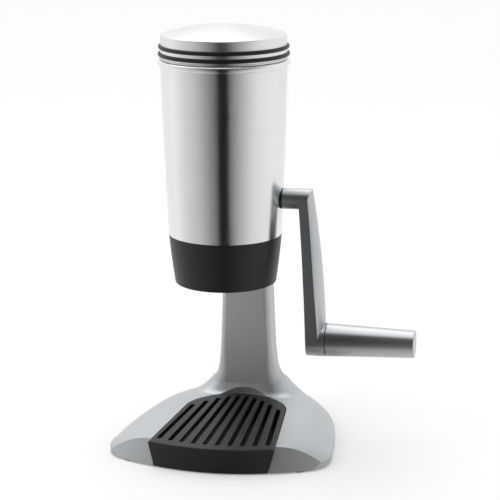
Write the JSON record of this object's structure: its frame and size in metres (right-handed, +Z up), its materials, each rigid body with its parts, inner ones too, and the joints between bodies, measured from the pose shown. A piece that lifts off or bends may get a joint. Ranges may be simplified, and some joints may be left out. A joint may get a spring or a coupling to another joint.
{
  "type": "ice crusher",
  "caption": "Hand-cranked table ice crusher: steel cup with stopper lid and toothed rotor on a cast column, over a base with a slotted drip tray.",
  "frame": {"origin": "on the table under the axis of the cup and its outlet", "axes": "+Z up, +X along the crank shaft towards the handle, -Y towards the user and the open front of the drip tray"},
  "size_m": [0.2508, 0.2038, 0.3551],
  "materials": {
    "satin_steel": "satin brushed stainless steel",
    "black_ring": "smooth black rubber",
    "black_plastic": "fine matt black moulding",
    "grate_plastic": "matt charcoal moulding",
    "silver_paint": "fine metallic silver coat on cast metal",
    "bright_steel": "turned steel",
    "blade_steel": "ground hardened steel",
    "frame_alloy": "as cast",
    "bush_nylon": "natural white nylon",
    "silver_plastic": "silver lacquered moulding",
    "zinc_screw": "zinc plated",
    "pad_rubber": "matt rubber"
  },
  "bodies": {
    "body": {"base_foot": "silver_paint", "base_pads": "pad_rubber", "bush_left": "bush_nylon", "bush_right": "bush_nylon", "column": "silver_paint", "column_bolts": "zinc_screw", "comb_front": "blade_steel", "comb_rear": "blade_steel", "comb_screws": "zinc_screw", "crusher_frame": "frame_alloy", "cup": "satin_steel", "cup_screws": "zinc_screw", "hopper_funnel": "black_plastic", "outlet_collar": "black_plastic", "shaft_seal": "black_ring"},
    "crank": {"crank_shaft": "bright_steel", "rotor_blade_1": "blade_steel", "rotor_blade_2": "blade_steel", "rotor_blade_3": "blade_steel", "rotor_blade_4": "blade_steel", "rotor_blade_5": "blade_steel", "rotor_spacers": "bright_steel", "shaft_clip": "bright_steel", "crank_arm": "silver_paint", "hub_screw": "zinc_screw", "grip_pin": "bright_steel"},
    "grip": {"grip": "silver_plastic", "grip_bushes": "bush_nylon", "grip_cap": "silver_plastic"},
    "lid": {"lid_cap": "satin_steel", "lid_ring_upper": "black_ring", "lid_ring_lower": "black_ring", "lid_plug": "black_plastic", "lid_seal": "black_ring"},
    "tray": {"drip_tub": "black_plastic"},
    "grate": {"drip_grate": "grate_plastic"}
  },
  "joints": [
    {"name": "crank_turn", "type": "hinge", "parent": "body", "child": "crank", "pos_m": [0, 0, 0.2145], "axis": [1, 0, 0], "continuous": true},
    {"name": "grip_spin", "type": "hinge", "parent": "crank", "child": "grip", "pos_m": [0.12, 0, 0.097], "axis": [1, 0, 0], "continuous": true},
    {"name": "lid_lift", "type": "slide", "parent": "body", "child": "lid", "axis": [0, 0, 1], "range_m": [0, 0.12]},
    {"name": "tray_slide", "type": "slide", "parent": "body", "child": "tray", "axis": [0, -1, 0], "range_m": [0, 0.16]},
    {"name": "grate_lift", "type": "slide", "parent": "tray", "child": "grate", "axis": [0, 0, 1], "range_m": [0, 0.08]}
  ]
}
